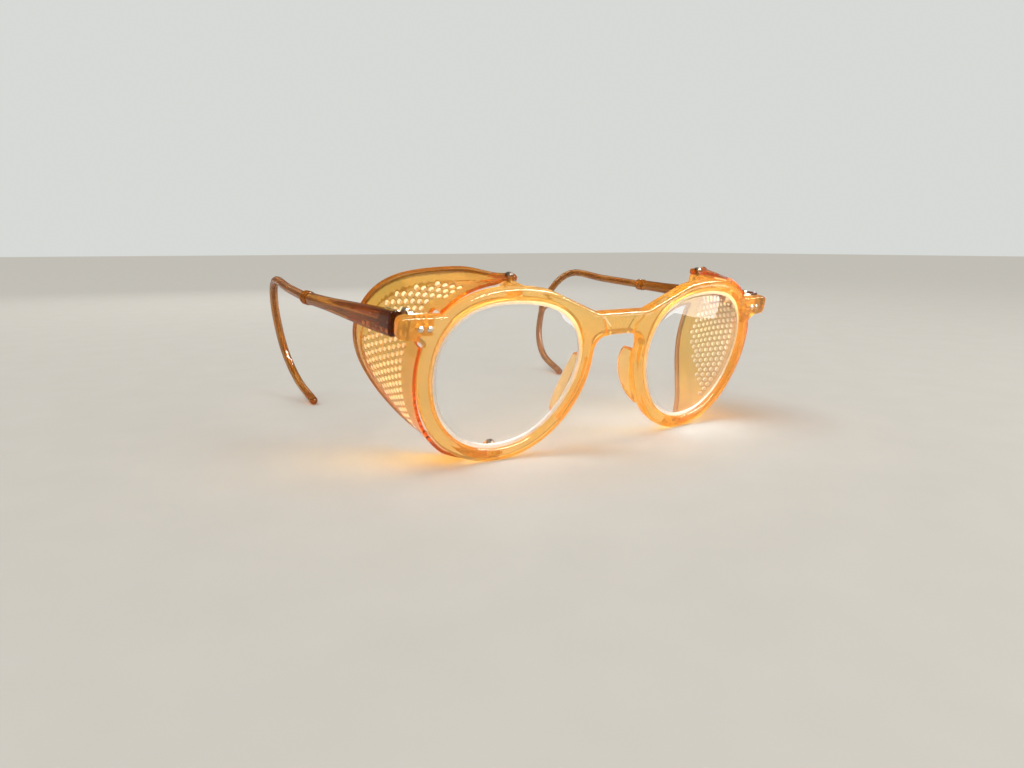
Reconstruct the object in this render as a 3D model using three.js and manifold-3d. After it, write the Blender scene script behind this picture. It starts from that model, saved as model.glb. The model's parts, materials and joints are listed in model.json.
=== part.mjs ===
// Spectacles with round plano lenses, perforated side shields and cable ear hooks.
// Millimetres. +Z is up, the lenses face -Y and the temples run to +Y. The glasses stand as they
// are put down: on the lower edges of both rims and on the tips of both ear hooks.
// Most pieces are drawn in the front's own frame: its origin is midway between the lens centres,
// x is along the front, y runs back along the temples and z is up along the front.

import * as THREE from "three";
import { mergeVertices } from "three/addons/utils/BufferGeometryUtils.js";
import Module from "manifold-3d";

const wasm = await Module();
wasm.setup();

const { degToRad, lerp, smoothstep } = THREE.MathUtils;

// Front
const LENS_CENTRE_X = 33.3;
const OPENING_RADIUS = 21.0;
// Gentle waves on the lens circle: [waves per turn, cosine part, sine part], as shares of the radius.
const OPENING_WAVES = [
  [2, 0.021, -0.022],
  [3, -0.01, 0.034],
  [4, -0.013, -0.004],
];
const RIM_WIDTH = 3.6;
const RIM_WIDTH_CHANGE = 0.35;
const FRONT_THICKNESS = 4.0;
const FRONT_ROUNDING = 1.1;
const OPENING_CHAMFER = 0.5;
// Where the rim's own outline starts and ends above the endpiece, below it and at the bridge.
const RIM_ABOVE_ENDPIECE = degToRad(41);
const RIM_BELOW_ENDPIECE = degToRad(19);
const RIM_AT_SHOULDER = degToRad(114);
const RIM_UNDER_BRIDGE = degToRad(-189);
const FRONT_BOW = degToRad(4.5);
const FORWARD_LEAN = degToRad(13);
const REST_FLAT_DEPTH = 0.25;

// Bridge
const BRIDGE_TOP_Z = 15.7;
const BRIDGE_BOTTOM_Z = 9.2;
const BRIDGE_TOP_HALF_WIDTH = 8.5;
const BRIDGE_BOTTOM_HALF_WIDTH = 3.6;

// Endpieces
const ENDPIECE_X = 64.0;
const ENDPIECE_TOP_Z = 16.2;
const ENDPIECE_BOTTOM_Z = 10.4;
const ENDPIECE_CORNER = 1.9;
const ENDPIECE_FILLET = 0.6;

// Lenses
const LENS_THICKNESS = 2.0;
const LENS_DOME = 1.8;
const LENS_FLAT_EDGE = 0.4;
const LENS_BEVEL_WIDTH = 1.4;
const LENS_BEVEL_REACH = 0.65;
const GROOVE_REACH = 1.0;
const GROOVE_SLOPE = 0.75;

// Nose pads
const PAD_PROTRUSION = 6.1;
const PAD_THICKNESS = 2.7;
const PAD_START = degToRad(173);
const PAD_END = degToRad(221);
const PAD_INSET = 0.3;
const PAD_ROUNDING = 0.9;
// Share of the pad's length at which it stands proudest of the rim.
const PAD_CREST = 0.45;
// Exponent of the pad's long outline; 2 would be an ellipse.
const PAD_FULLNESS = 2.2;
const PAD_SHOULDER = 0.75;

// Side shields
const PIN_Y = 4.4;
const EAR_ROOT_Y = FRONT_THICKNESS / 2 - 1;
const PIN_RADIUS = 0.6;
const PIN_HEAD_RADIUS = 1.15;
const PIN_HEAD_HEIGHT = 0.8;
const EAR_HALF_WIDTH = 2.0;
const EAR_TOP = [20.4, 22.95];
const EAR_BOTTOM = [-24.1, -21.7];
const SHIELD_THICKNESS = 1.2;
const SHIELD_DEPTH = 26.4;
const SHIELD_REAR_POWER = 1.67;
const SHIELD_END = degToRad(95);
const SHIELD_TAB_HALF_DEPTH = 1.6;
const SHIELD_TAB_FRONT_Y = 3.25;
const SHIELD_FRONT_Y = 1.2;
const SHIELD_GAP = 0.35;
const SHIELD_TUCK = 0.95;
const SHIELD_FLARE = 2.9;
const SHIELD_FLARE_TOP = 4.0;
const SHIELD_LIP = 1.7;
// Angles between which the shield's front edge leaves the rim's outer wall for the pin's tab.
const TAB_ABOVE = [degToRad(76), degToRad(86)];
const TAB_BELOW = [degToRad(48), degToRad(66)];
const TUCK_ANGLES = [degToRad(68), degToRad(80)];
// Angles between which the shield's upper rear edge swells outwards, and ends doing so.
const LIP_STARTS = [degToRad(15), degToRad(45)];
const LIP_ENDS = [degToRad(66), degToRad(86)];
const NOTCH_X = [48, 72];
const NOTCH_DEPTH_Y = 5.0;
const NOTCH_MARGIN = 0.45;
const FILLET_NOTCH_Y = 4.2;
const FILLET_NOTCH_DROP = 2.4;

// Hinges
const HINGE_X = 59.6;
const HINGE_Y = 6.7;
const HINGE_Z = 13.3;
const KNUCKLE_RADIUS = 1.15;
const KNUCKLE_HEIGHT = 1.8;
const KNUCKLE_GAP = 0.12;
const SCREW_RADIUS = 0.5;
const RUNNING_CLEARANCE = 0.07;
const LEAF_THICKNESS = 0.9;
const LEAF_HEIGHT = 5.2;
const LEAF_X = [54.2, 60.3];
const TEMPLE_LEAF_X = 60.2;
const TEMPLE_LEAF_Y = 8.2;
const TEMPLE_LEAF_THICKNESS = 0.7;
const TEMPLE_LEAF_LENGTH = 7;
const TEMPLE_LEAF_HEIGHT = 4.4;
const LUG_X = [58.6, 60.0];
const LUG_FRONT_Y = 4.7;
const SCREW_HEAD_RADIUS = 0.95;
const SCREW_HEAD_HEIGHT = 0.5;
const RIVET_X = [56.2, 58.5];
const RIVET_RADIUS = 0.6;
const RIVET_HEAD_RADIUS = 0.85;
const RIVET_HEAD_HEIGHT = 0.3;
const CEMENT_GAP = 0.05;

// Temples
const ARM_START = new THREE.Vector3(62.7, 4.95, 13.3);
const ARM_END = new THREE.Vector3(66.0, 58.6, 3.65);
const ARM_BUTT_SIZE = [3.4, 6.4];
const ARM_END_SIZE = [3.5, 3.8];
// Exponent of the superellipse at the butt; 2 would be an ellipse.
const BUTT_SQUARENESS = 4.5;
// Share of the arm's length at which its core begins.
const CORE_START = 0.13;
const CORE_RADIUS = 0.65;
const BORE_CLEARANCE = 0.25;
const COLLAR_LENGTH = 3.6;
const COLLAR_RADIUS = 1.85;
const COLLAR_BEAD = 0.3;
const COLLAR_BEAD_INSET = 0.7;
const SLEEVE_GAP = 0.3;
const HOOK_RADIUS = 1.45;
const HOOK_TIP_Y = 89;

const ROUND = 16;
const OUTLINE_STEPS = 72;
const HOOK_STEPS = 30;

// ---------- solids ----------

function signedVolume(geometry) {
  const at = geometry.getAttribute("position");
  const [a, b, c] = [new THREE.Vector3(), new THREE.Vector3(), new THREE.Vector3()];
  let sum = 0;
  for (let i = 0; i < geometry.index.count; i += 3) {
    a.fromBufferAttribute(at, geometry.index.getX(i));
    b.fromBufferAttribute(at, geometry.index.getX(i + 1));
    c.fromBufferAttribute(at, geometry.index.getX(i + 2));
    sum += a.dot(b.cross(c)) / 6;
  }
  return sum;
}

// The geometry with shared vertices merged, its collapsed faces dropped and the rest facing out.
function closed(geometry) {
  const bare = geometry.clone();
  bare.deleteAttribute("normal");
  bare.deleteAttribute("uv");
  const merged = mergeVertices(bare, 1e-4);
  const flip = signedVolume(merged) < 0;
  const { array } = merged.index;
  const index = [];
  for (let i = 0; i < array.length; i += 3) {
    const [a, b, c] = array.slice(i, i + 3);
    if (a === b || b === c || c === a) continue;
    index.push(...(flip ? [b, a, c] : [a, b, c]));
  }
  merged.setIndex(index);
  return merged;
}

function solid(geometry) {
  const { index, attributes } = closed(geometry);
  return new wasm.Manifold(
    new wasm.Mesh({
      numProp: 3,
      vertProperties: new Float32Array(attributes.position.array),
      triVerts: new Uint32Array(index.array),
    }),
  );
}

function geometryOf(body) {
  const mesh = body.getMesh();
  const geometry = new THREE.BufferGeometry();
  geometry.setAttribute("position", new THREE.BufferAttribute(mesh.vertProperties, 3));
  geometry.setIndex(new THREE.BufferAttribute(mesh.triVerts, 1));
  return geometry;
}

const joined = (...parts) => geometryOf(parts.map(solid).reduce((a, b) => a.add(b)));
const cut = (base, ...tools) =>
  geometryOf(tools.map(solid).reduce((a, b) => a.subtract(b), solid(base)));

// ---------- shared shapes ----------

// A flat shape, drawn with x across and z up, given a thickness along y about y = 0.
function plate(shape, thickness, bevel = {}) {
  const { reach = 0, depth = 0, inset = 0, segments = 1 } = bevel;
  return new THREE.ExtrudeGeometry(shape, {
    depth: thickness - 2 * depth,
    bevelEnabled: depth > 0,
    bevelSize: reach,
    bevelThickness: depth,
    bevelOffset: inset,
    bevelSegments: segments,
    curveSegments: 6,
  })
    .translate(0, 0, depth - thickness / 2)
    .rotateX(Math.PI / 2);
}

// An upright prism with its outline in the x, y plane.
function prism(shape, bottom, top) {
  return new THREE.ExtrudeGeometry(shape, {
    depth: top - bottom,
    bevelEnabled: false,
    curveSegments: ROUND / 2,
  }).translate(0, 0, bottom);
}

function upright(radius, bottom, top) {
  return new THREE.CylinderGeometry(radius, radius, top - bottom, ROUND)
    .rotateX(Math.PI / 2)
    .translate(0, 0, (bottom + top) / 2);
}

function block([x0, x1], [y0, y1], [z0, z1]) {
  return new THREE.BoxGeometry(x1 - x0, y1 - y0, z1 - z0).translate(
    (x0 + x1) / 2,
    (y0 + y1) / 2,
    (z0 + z1) / 2,
  );
}

function mirrored(geometry) {
  return geometry.clone().scale(-1, 1, 1);
}

// From a rim's own plane, with its origin at the lens centre, to the front's frame.
function ontoFront(geometry) {
  return geometry.clone().rotateZ(FRONT_BOW).translate(LENS_CENTRE_X, 0, 0);
}

// A closed skin over rings of points, each ring with the same number of points.
function loft(rings) {
  const across = rings[0].length;
  const positions = rings.flat().flatMap((p) => p.toArray());
  const index = [];
  for (let i = 0; i < rings.length - 1; i++) {
    for (let j = 0; j < across; j++) {
      const a = i * across + j;
      const b = i * across + ((j + 1) % across);
      index.push(a, b, a + across, b, b + across, a + across);
    }
  }
  const last = (rings.length - 1) * across;
  for (let j = 1; j < across - 1; j++) {
    index.push(0, j + 1, j);
    index.push(last, last + j, last + j + 1);
  }
  const geometry = new THREE.BufferGeometry();
  geometry.setAttribute("position", new THREE.Float32BufferAttribute(positions, 3));
  geometry.setIndex(index);
  return geometry;
}

function uprightLathe(profile) {
  return new THREE.LatheGeometry(profile, ROUND).rotateX(Math.PI / 2);
}

function rod(path, radius, steps, sides = 8) {
  const circle = new THREE.Shape().absarc(0, 0, radius, 0, 2 * Math.PI);
  return new THREE.ExtrudeGeometry(circle, {
    steps,
    extrudePath: path,
    curveSegments: sides / 2,
  });
}

// ---------- outlines of the front ----------

// Distance from the lens centre to the edge of the opening. Angle 0 points to the temple.
function openingRadius(angle) {
  const wave = OPENING_WAVES.reduce(
    (sum, [n, c, s]) => sum + c * Math.cos(n * angle) + s * Math.sin(n * angle),
    1,
  );
  return OPENING_RADIUS * wave;
}

function rimRadius(angle) {
  return openingRadius(angle) + RIM_WIDTH - RIM_WIDTH_CHANGE * Math.sin(angle);
}

function polar(radius, angle) {
  return new THREE.Vector2(radius * Math.cos(angle), radius * Math.sin(angle));
}

// The opening's outline moved out by `reach` and shrunk to `share`, at depth y in the rim's plane.
function openingRing(reach, y, share = 1) {
  return Array.from({ length: OUTLINE_STEPS }, (_, i) => {
    const angle = (2 * Math.PI * i) / OUTLINE_STEPS;
    const { x, y: z } = polar(share * (openingRadius(angle) + reach), angle);
    return new THREE.Vector3(x, y, z);
  });
}

// The rim's outer edge between two angles, clockwise.
function rimArc(from, to) {
  const steps = Math.ceil((OUTLINE_STEPS * (from - to)) / (2 * Math.PI));
  return Array.from({ length: steps + 1 }, (_, i) => {
    const angle = lerp(from, to, i / steps);
    return polar(rimRadius(angle), angle);
  });
}

// One half of the front in the rim's plane: the rim, its endpiece and its shoulder to the bridge.
function halfShape() {
  const bridgeX = BRIDGE_TOP_HALF_WIDTH - LENS_CENTRE_X;
  const endX = ENDPIECE_X - LENS_CENTRE_X;
  const corner = ENDPIECE_CORNER;
  const shape = new THREE.Shape();
  shape.moveTo(bridgeX - 1.5, BRIDGE_TOP_Z);
  shape.lineTo(bridgeX, BRIDGE_TOP_Z);
  for (const p of rimArc(RIM_AT_SHOULDER, RIM_ABOVE_ENDPIECE)) {
    shape.lineTo(p.x, p.y);
  }
  shape.lineTo(endX - corner, ENDPIECE_TOP_Z);
  shape.quadraticCurveTo(endX, ENDPIECE_TOP_Z, endX, ENDPIECE_TOP_Z - corner);
  shape.lineTo(endX, ENDPIECE_BOTTOM_Z + corner);
  shape.quadraticCurveTo(endX, ENDPIECE_BOTTOM_Z, endX - corner, ENDPIECE_BOTTOM_Z);
  const below = rimArc(RIM_BELOW_ENDPIECE, RIM_UNDER_BRIDGE);
  const filletX = below[0].x + ENDPIECE_FILLET;
  shape.quadraticCurveTo(filletX, ENDPIECE_BOTTOM_Z, below[0].x, below[0].y);
  for (const p of below) {
    shape.lineTo(p.x, p.y);
  }
  const undersideX = BRIDGE_BOTTOM_HALF_WIDTH - LENS_CENTRE_X;
  shape.quadraticCurveTo(bridgeX, BRIDGE_BOTTOM_Z, undersideX, BRIDGE_BOTTOM_Z);
  shape.lineTo(undersideX, (BRIDGE_TOP_Z + BRIDGE_BOTTOM_Z) / 2);
  return shape;
}

function bridgeShape() {
  const top = BRIDGE_TOP_HALF_WIDTH - 1;
  const bottom = BRIDGE_BOTTOM_HALF_WIDTH + 0.4;
  return new THREE.Shape([
    new THREE.Vector2(-top, BRIDGE_TOP_Z),
    new THREE.Vector2(-bottom, BRIDGE_BOTTOM_Z),
    new THREE.Vector2(bottom, BRIDGE_BOTTOM_Z),
    new THREE.Vector2(top, BRIDGE_TOP_Z),
  ]);
}

const roundedEdge = {
  reach: FRONT_ROUNDING,
  depth: FRONT_ROUNDING,
  inset: -FRONT_ROUNDING,
  segments: 2,
};

// ---------- front ----------

// The small lug behind the rim that carries a shield pin.
function ear([bottom, top]) {
  const shape = new THREE.Shape();
  shape.moveTo(-EAR_HALF_WIDTH, EAR_ROOT_Y);
  shape.lineTo(EAR_HALF_WIDTH, EAR_ROOT_Y);
  shape.lineTo(EAR_HALF_WIDTH, PIN_Y);
  shape.absarc(0, PIN_Y, EAR_HALF_WIDTH, 0, Math.PI, false);
  return prism(shape, bottom, top).translate(LENS_CENTRE_X, 0, 0);
}

function pinHole() {
  const radius = PIN_RADIUS + RUNNING_CLEARANCE;
  return [EAR_TOP, EAR_BOTTOM].map(([bottom, top]) =>
    upright(radius, bottom - 2, top + 2).translate(LENS_CENTRE_X, PIN_Y, 0),
  );
}

// A rivet's hole from in front of the endpiece to `end`, both in the rim's plane.
function rivetHole(x, end = 2 * FRONT_THICKNESS) {
  const radius = RIVET_RADIUS + RUNNING_CLEARANCE;
  const length = 4 * FRONT_THICKNESS;
  const hole = new THREE.CylinderGeometry(radius, radius, length, ROUND);
  return ontoFront(hole.translate(x - LENS_CENTRE_X, end - length / 2, HINGE_Z));
}

// The lens opening, chamfered at both faces of the rim.
function lensOpening() {
  const face = FRONT_THICKNESS / 2;
  const wide = 2 * OPENING_CHAMFER;
  const rings = [
    openingRing(wide, -face - OPENING_CHAMFER),
    openingRing(0, -face + OPENING_CHAMFER),
    openingRing(0, face - OPENING_CHAMFER),
    openingRing(wide, face + OPENING_CHAMFER),
  ];
  return ontoFront(loft(rings));
}

// The V-shaped groove that holds the lens.
function lensGroove() {
  const flat = LENS_FLAT_EDGE / 2;
  const rings = [
    openingRing(0, -flat - GROOVE_SLOPE),
    openingRing(GROOVE_REACH, -flat),
    openingRing(GROOVE_REACH, flat),
    openingRing(0, flat + GROOVE_SLOPE),
  ];
  return ontoFront(loft(rings));
}

function wholeFront() {
  const half = ontoFront(plate(halfShape(), FRONT_THICKNESS, roundedEdge));
  const bridgeY = (BRIDGE_TOP_HALF_WIDTH - LENS_CENTRE_X) * Math.sin(FRONT_BOW);
  const bridge = plate(bridgeShape(), FRONT_THICKNESS, roundedEdge).translate(0, bridgeY, 0);
  const side = [half, ear(EAR_TOP), ear(EAR_BOTTOM)];
  const blank = joined(bridge, ...side, ...side.map(mirrored));
  const rivetHoles = RIVET_X.map((x) => rivetHole(x));
  const holes = [lensOpening(), lensGroove(), ...pinHole(), ...rivetHoles];
  return cut(blank, ...holes, ...holes.map(mirrored));
}

function lowestWhenLeaning(geometry) {
  const leaning = geometry.clone().rotateX(FORWARD_LEAN);
  leaning.computeBoundingBox();
  return leaning.boundingBox.min.z;
}

const uncutFront = wholeFront();
const FRONT_HEIGHT = -lowestWhenLeaning(uncutFront) - REST_FLAT_DEPTH;

// Height in the front's frame at which a point at depth y stands `clearance` above the table.
function tableZ(y, clearance) {
  return (clearance - FRONT_HEIGHT - y * Math.sin(FORWARD_LEAN)) / Math.cos(FORWARD_LEAN);
}

function frontFrame() {
  const table = block([-80, 80], [-20, 20], [-10, 0])
    .translate(0, 0, -FRONT_HEIGHT)
    .rotateX(-FORWARD_LEAN);
  return cut(uncutFront, table);
}

// ---------- lens, pad, shield and pins, drawn for the side where x is positive ----------

// A meniscus whose two domed faces end in a bevel that reaches into the groove.
function lens() {
  const faceReach = LENS_BEVEL_REACH - LENS_BEVEL_WIDTH;
  const face = (y) =>
    [0.3, 0.7, 1].map((share) =>
      openingRing(faceReach, y - LENS_DOME * (1 - share * share), share),
    );
  const edge = [1, -1].map((end) => openingRing(LENS_BEVEL_REACH, (end * LENS_FLAT_EDGE) / 2));
  const rear = face(LENS_THICKNESS / 2);
  const front = face(-LENS_THICKNESS / 2).reverse();
  return ontoFront(loft([...rear, ...edge, ...front]));
}

function nosePad() {
  const steps = 14;
  const front = FRONT_THICKNESS / 2 + CEMENT_GAP;
  const rings = Array.from({ length: steps + 1 }, (_, i) => {
    const share = lerp(0.02, 0.98, i / steps);
    const angle = lerp(PAD_START, PAD_END, share);
    const fromCrest = Math.abs(share - PAD_CREST) / (1 - PAD_CREST);
    const rear = front + PAD_PROTRUSION * Math.sqrt(1 - Math.pow(fromCrest, PAD_FULLNESS));
    const shoulder = lerp(front, rear, PAD_SHOULDER);
    const outer = rimRadius(angle) - PAD_INSET;
    const inner = outer - PAD_THICKNESS;
    const section = [
      [outer, front],
      [outer, shoulder],
      [outer - PAD_ROUNDING, rear],
      [inner + PAD_ROUNDING, rear],
      [inner, shoulder],
      [inner, front],
    ];
    return section.map(([r, y]) => new THREE.Vector3(r * Math.cos(angle), y, r * Math.sin(angle)));
  });
  return ontoFront(loft(rings));
}

// The shield's inner surface. Share 0 is its front edge and 1 its free rear edge.
function shieldPoint(angle, share, outwards) {
  const turn = Math.abs(angle);
  const tab = smoothstep(turn, ...(angle < 0 ? TAB_BELOW : TAB_ABOVE));
  const cosine = Math.max(Math.cos(angle), 0);
  const depth = SHIELD_DEPTH * Math.pow(cosine, SHIELD_REAR_POWER);
  const rearY = PIN_Y + SHIELD_TAB_HALF_DEPTH + depth;
  const y = lerp(lerp(SHIELD_FRONT_Y, SHIELD_TAB_FRONT_Y, tab), rearY, share);
  const back = smoothstep(y, PIN_Y, PIN_Y + SHIELD_DEPTH);
  const flare = (SHIELD_FLARE + SHIELD_FLARE_TOP * Math.sin(angle)) * cosine * cosine * back;
  const upper = smoothstep(angle, ...LIP_STARTS) * (1 - smoothstep(angle, ...LIP_ENDS));
  const lip = SHIELD_LIP * upper * smoothstep(y, PIN_Y, rearY);
  const tuck = angle < 0 ? SHIELD_TUCK * smoothstep(turn, ...TUCK_ANGLES) : 0;
  const offset = SHIELD_GAP - tuck;
  const radius = rimRadius(angle) + offset + flare + lip + outwards;
  return new THREE.Vector3(
    LENS_CENTRE_X + radius * Math.cos(angle),
    y,
    radius * Math.sin(angle),
  );
}

function sideShield() {
  const along = 44;
  const across = 5;
  const end = SHIELD_END;
  const rings = Array.from({ length: along + 1 }, (_, i) => {
    const angle = lerp(-end, end, i / along);
    const shares = Array.from({ length: across + 1 }, (_, j) => j / across);
    return [
      ...shares.map((share) => shieldPoint(angle, share, 0)),
      ...shares.reverse().map((share) => shieldPoint(angle, share, SHIELD_THICKNESS)),
    ];
  });
  const low = ENDPIECE_BOTTOM_Z - NOTCH_MARGIN;
  const notch = block(NOTCH_X, [0, NOTCH_DEPTH_Y], [low, ENDPIECE_TOP_Z + NOTCH_MARGIN]);
  const fillet = block(NOTCH_X, [0, FILLET_NOTCH_Y], [low - FILLET_NOTCH_DROP, low + 1]);
  return cut(loft(rings), notch, fillet, ...pinHole());
}

function shieldPin(headBase, shankEnd) {
  const profile = [
    new THREE.Vector2(0, shankEnd),
    new THREE.Vector2(PIN_RADIUS, shankEnd),
    new THREE.Vector2(PIN_RADIUS, headBase),
    new THREE.Vector2(PIN_HEAD_RADIUS, headBase),
    new THREE.Vector2(PIN_HEAD_RADIUS * 0.85, headBase + 0.6 * PIN_HEAD_HEIGHT),
    new THREE.Vector2(PIN_HEAD_RADIUS * 0.45, headBase + 0.93 * PIN_HEAD_HEIGHT),
    new THREE.Vector2(0, headBase + PIN_HEAD_HEIGHT),
  ];
  return uprightLathe(profile).translate(LENS_CENTRE_X, PIN_Y, 0);
}

const tabTopZ = rimRadius(Math.PI / 2) + SHIELD_GAP + SHIELD_THICKNESS;
const tabBottomZ = -(rimRadius(-Math.PI / 2) + SHIELD_GAP - SHIELD_TUCK + SHIELD_THICKNESS);
const shieldTopPin = () => shieldPin(tabTopZ + 0.1, EAR_TOP[0] + 0.1);
const shieldBottomPin = () => shieldPin(EAR_BOTTOM[1] + 0.1, tabBottomZ + 0.05);

// ---------- hinge ----------

const rivetEnd = FRONT_THICKNESS / 2 + 0.6 * LEAF_THICKNESS;

function frontRivet(x) {
  const face = -FRONT_THICKNESS / 2 - CEMENT_GAP;
  const profile = [
    new THREE.Vector2(0, face - RIVET_HEAD_HEIGHT),
    new THREE.Vector2(RIVET_HEAD_RADIUS * 0.6, face - RIVET_HEAD_HEIGHT * 0.8),
    new THREE.Vector2(RIVET_HEAD_RADIUS, face),
    new THREE.Vector2(RIVET_RADIUS, face),
    new THREE.Vector2(RIVET_RADIUS, rivetEnd),
    new THREE.Vector2(0, rivetEnd),
  ];
  const rivet = new THREE.LatheGeometry(profile, ROUND);
  return ontoFront(rivet.translate(x - LENS_CENTRE_X, 0, HINGE_Z));
}

function knuckle(bottom, top) {
  return upright(KNUCKLE_RADIUS, bottom, top).translate(HINGE_X, HINGE_Y, 0);
}

function screwBore() {
  const reach = 2 * LEAF_HEIGHT;
  const radius = SCREW_RADIUS + RUNNING_CLEARANCE;
  return upright(radius, HINGE_Z - reach, HINGE_Z + reach).translate(HINGE_X, HINGE_Y, 0);
}

const upperKnuckle = [
  HINGE_Z + KNUCKLE_HEIGHT / 2 + KNUCKLE_GAP,
  HINGE_Z + 1.5 * KNUCKLE_HEIGHT + KNUCKLE_GAP,
];
const lowerKnuckle = [
  HINGE_Z - 1.5 * KNUCKLE_HEIGHT - KNUCKLE_GAP,
  HINGE_Z - KNUCKLE_HEIGHT / 2 - KNUCKLE_GAP,
];

function hingeFrontLeaf() {
  const back = FRONT_THICKNESS / 2 + CEMENT_GAP;
  const heights = [HINGE_Z - LEAF_HEIGHT / 2, HINGE_Z + LEAF_HEIGHT / 2];
  const across = LEAF_X.map((x) => x - LENS_CENTRE_X);
  const leaf = ontoFront(block(across, [back, back + LEAF_THICKNESS], heights));
  const knuckles = [upperKnuckle, lowerKnuckle].flatMap(([bottom, top]) => [
    knuckle(bottom, top),
    block(LUG_X, [LUG_FRONT_Y, HINGE_Y], [bottom, top]),
  ]);
  const rivetPockets = RIVET_X.map((x) => rivetHole(x, rivetEnd + 0.1));
  return cut(joined(leaf, ...knuckles), screwBore(), ...rivetPockets);
}

function hingeTempleLeaf() {
  const bottom = HINGE_Z - KNUCKLE_HEIGHT / 2;
  const top = HINGE_Z + KNUCKLE_HEIGHT / 2;
  const leafX = [TEMPLE_LEAF_X, TEMPLE_LEAF_X + TEMPLE_LEAF_THICKNESS];
  const lug = block([HINGE_X - 0.4, leafX[1]], [HINGE_Y, TEMPLE_LEAF_Y + 0.7], [bottom, top]);
  const halfHeight = TEMPLE_LEAF_HEIGHT / 2;
  const slope = Math.atan2(ARM_END.z - ARM_START.z, ARM_END.y - ARM_START.y);
  const leaf = block(leafX, [0, TEMPLE_LEAF_LENGTH], [-halfHeight, halfHeight])
    .rotateX(slope)
    .translate(0, TEMPLE_LEAF_Y, HINGE_Z);
  return cut(joined(knuckle(bottom, top), lug, leaf), screwBore());
}

function hingeScrew() {
  const headBase = upperKnuckle[1] + CEMENT_GAP;
  const radius = SCREW_HEAD_RADIUS;
  const profile = [
    new THREE.Vector2(0, lowerKnuckle[0]),
    new THREE.Vector2(SCREW_RADIUS, lowerKnuckle[0]),
    new THREE.Vector2(SCREW_RADIUS, headBase),
    new THREE.Vector2(radius, headBase),
    new THREE.Vector2(radius, headBase + 0.6 * SCREW_HEAD_HEIGHT),
    new THREE.Vector2(0.8 * radius, headBase + SCREW_HEAD_HEIGHT),
    new THREE.Vector2(0, headBase + SCREW_HEAD_HEIGHT),
  ];
  return uprightLathe(profile).translate(HINGE_X, HINGE_Y, 0);
}

// ---------- temple ----------

// A section of the arm at a share of its length: a rounded rectangle that becomes an ellipse.
function armSection(share, centre, size) {
  const squareness = lerp(BUTT_SQUARENESS, 2, smoothstep(share, 0, 1));
  return Array.from({ length: 20 }, (_, i) => {
    const angle = (2 * Math.PI * i) / 20;
    const c = Math.cos(angle);
    const s = Math.sin(angle);
    const x = Math.sign(c) * Math.pow(Math.abs(c), 2 / squareness);
    const z = Math.sign(s) * Math.pow(Math.abs(s), 2 / squareness);
    return new THREE.Vector3(centre.x + (x * size[0]) / 2, centre.y, centre.z + (z * size[1]) / 2);
  });
}

function templeArm() {
  const steps = 10;
  const rings = Array.from({ length: steps + 1 }, (_, i) => {
    const share = i / steps;
    const centre = ARM_START.clone().lerp(ARM_END, share);
    const ease = smoothstep(share, 0, 0.9);
    const size = [0, 1].map((k) => lerp(ARM_BUTT_SIZE[k], ARM_END_SIZE[k], ease));
    return armSection(share, centre, size);
  });
  const bore = rod(armAxis(CORE_START - 0.01, 1.02), CORE_RADIUS + BORE_CLEARANCE, 1);
  return cut(loft(rings), bore);
}

function armAxis(from, to) {
  const point = (share) => ARM_START.clone().lerp(ARM_END, share);
  return new THREE.LineCurve3(point(from), point(to));
}

const armDirection = ARM_END.clone().sub(ARM_START).normalize();
const collarStart = ARM_END.clone().addScaledVector(armDirection, SLEEVE_GAP);
const collarEnd = collarStart.clone().addScaledVector(armDirection, COLLAR_LENGTH);
const hookStart = collarEnd.clone().addScaledVector(armDirection, SLEEVE_GAP);

function coreWire() {
  const end = collarStart.clone().addScaledVector(armDirection, COLLAR_LENGTH * 0.45);
  const start = ARM_START.clone().lerp(ARM_END, CORE_START);
  return rod(new THREE.LineCurve3(start, end), CORE_RADIUS, 1);
}

function templeCollar() {
  const bore = CORE_RADIUS + BORE_CLEARANCE;
  const foot = 1.5 * COLLAR_BEAD;
  const ring = (at) => [
    new THREE.Vector2(COLLAR_RADIUS, at - foot),
    new THREE.Vector2(COLLAR_RADIUS + COLLAR_BEAD, at - foot / 2),
    new THREE.Vector2(COLLAR_RADIUS + COLLAR_BEAD, at + foot / 2),
    new THREE.Vector2(COLLAR_RADIUS, at + foot),
  ];
  const profile = [
    new THREE.Vector2(bore, 0),
    new THREE.Vector2(COLLAR_RADIUS, 0),
    ...ring(COLLAR_BEAD_INSET),
    ...ring(COLLAR_LENGTH - COLLAR_BEAD_INSET),
    new THREE.Vector2(COLLAR_RADIUS, COLLAR_LENGTH),
    new THREE.Vector2(bore, COLLAR_LENGTH),
    new THREE.Vector2(bore, 0),
  ];
  const turn = new THREE.Quaternion().setFromUnitVectors(new THREE.Vector3(0, 1, 0), armDirection);
  return new THREE.LatheGeometry(profile, ROUND)
    .applyQuaternion(turn)
    .translate(collarStart.x, collarStart.y, collarStart.z);
}

// The ear hook: straight on from the arm, over the ear, down and forward to a tip on the table.
function hookPath() {
  const tipZ = tableZ(HOOK_TIP_Y, HOOK_RADIUS);
  return new THREE.CatmullRomCurve3([
    hookStart,
    new THREE.Vector3(65.4, 84, -0.4),
    new THREE.Vector3(64.3, 103, -3.2),
    new THREE.Vector3(63.0, 111, -9.5),
    new THREE.Vector3(61.0, 115.3, -20),
    new THREE.Vector3(58.4, 112.8, -33.5),
    new THREE.Vector3(56.2, 104, -41.6),
    new THREE.Vector3(54.8, HOOK_TIP_Y, tipZ),
  ]);
}

// The stretch of a curve between two shares of its length.
class PartOfCurve extends THREE.Curve {
  constructor(curve, from, to) {
    super();
    Object.assign(this, { curve, from, to });
  }
  getPoint(t, target) {
    return this.curve.getPointAt(lerp(this.from, this.to, t), target);
  }
}

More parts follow.
